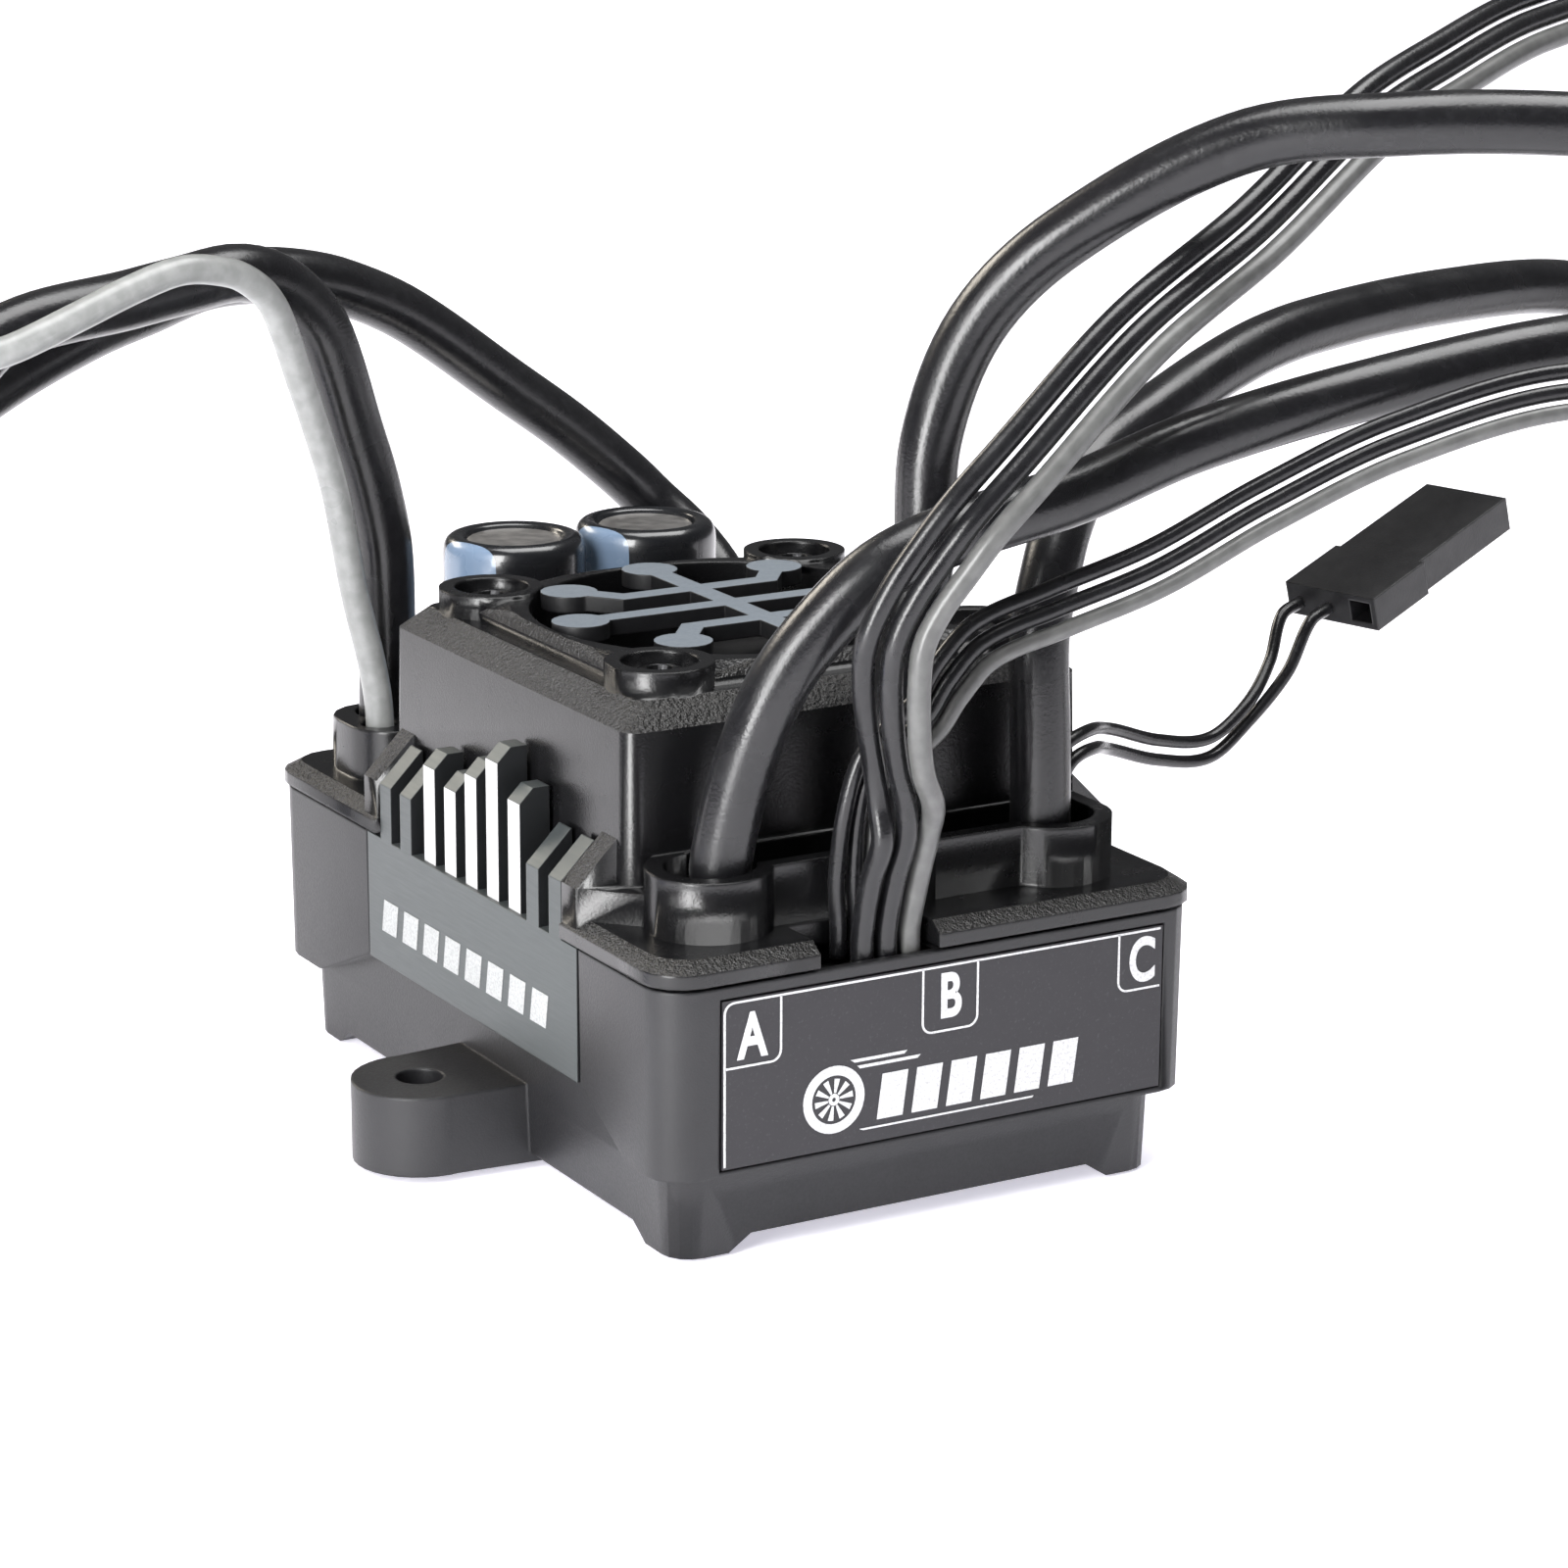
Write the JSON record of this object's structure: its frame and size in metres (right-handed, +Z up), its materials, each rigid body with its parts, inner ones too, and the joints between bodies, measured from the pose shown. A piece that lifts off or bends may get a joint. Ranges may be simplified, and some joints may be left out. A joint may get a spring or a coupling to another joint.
{
  "type": "electronic speed controller",
  "caption": "Small brushless motor speed controller: plastic case with finned metal sides, a fan tower under a guard, capacitors, and motor, battery and signal leads.",
  "frame": {"origin": "middle of the case's base, in the plane its corner feet stand on", "axes": "+Z up, towards the fan guard; the motor leads leave at the -Y end and the battery leads at the +Y end"},
  "size_m": [0.2133, 0.0868, 0.0764],
  "materials": {
    "case_plastic": "satin moulded",
    "cover_plastic": "gloss with spark-eroded chamfers",
    "fin_metal": "grey anodised",
    "raw_aluminium": "plain extruded",
    "fan_plastic": "satin moulded",
    "guard_paint": "satin blue-grey face, dark edges",
    "steel": "plated screw",
    "board_green": "solder-masked glass laminate",
    "chip_black": "moulded package",
    "pad_grey": "matt silicone",
    "copper": "tinned copper",
    "gold": "gold plated",
    "can_sleeve": "shrink sleeve over an aluminium can",
    "label_film": "printed film",
    "wire_black": "satin silicone jacket",
    "wire_grey": "satin jacket",
    "plug_black": "satin moulded",
    "plug_blue": "satin moulded"
  },
  "bodies": {
    "housing": {"aux_plug": "plug_black", "aux_wire_a": "wire_black", "aux_wire_b": "wire_black", "battery_lead_1": "wire_black", "battery_lead_2": "wire_black", "battery_plug": "plug_blue", "battery_tab_1": "copper", "battery_tab_2": "copper", "board_header": "chip_black", "capacitor_1": "can_sleeve", "capacitor_2": "can_sleeve", "case_screw_1": "steel", "case_screw_2": "steel", "case_screw_3": "steel", "case_screw_4": "steel", "control_board": "board_green", "data_lead": "wire_grey", "fan_frame": "fan_plastic", "fan_guard": "guard_paint", "fan_screw_1": "steel", "fan_screw_2": "steel", "fan_screw_3": "steel", "fan_screw_4": "steel", "fan_shaft": "steel", "finned_plate_left": "fin_metal", "finned_plate_right": "fin_metal", "front_label": "label_film", "heatsink": "raw_aluminium", "lower_case": "case_plastic", "mosfet_1": "chip_black", "mosfet_2": "chip_black", "mosfet_3": "chip_black", "mosfet_4": "chip_black", "motor_bullet_a": "gold", "motor_bullet_b": "gold", "motor_bullet_c": "gold", "motor_lead_a": "wire_black", "motor_lead_b": "wire_black", "motor_lead_c": "wire_black", "motor_tab_a": "copper", "motor_tab_b": "copper", "motor_tab_c": "copper", "power_board": "board_green", "sensor_plug": "plug_black", "sensor_wire_a": "wire_black", "sensor_wire_b": "wire_black", "sensor_wire_c": "wire_grey", "signal_header": "chip_black", "signal_plug": "plug_black", "signal_wire_a": "wire_black", "signal_wire_b": "wire_black", "signal_wire_c": "wire_grey", "thermal_pad": "pad_grey", "top_cover": "cover_plastic"},
    "fan_rotor": {"fan_rotor": "fan_plastic"}
  },
  "joints": [
    {"name": "fan_spin", "type": "hinge", "parent": "housing", "child": "fan_rotor", "pos_m": [0, -0.0018, 0.0288], "axis": [0, 0, 1], "continuous": true}
  ]
}
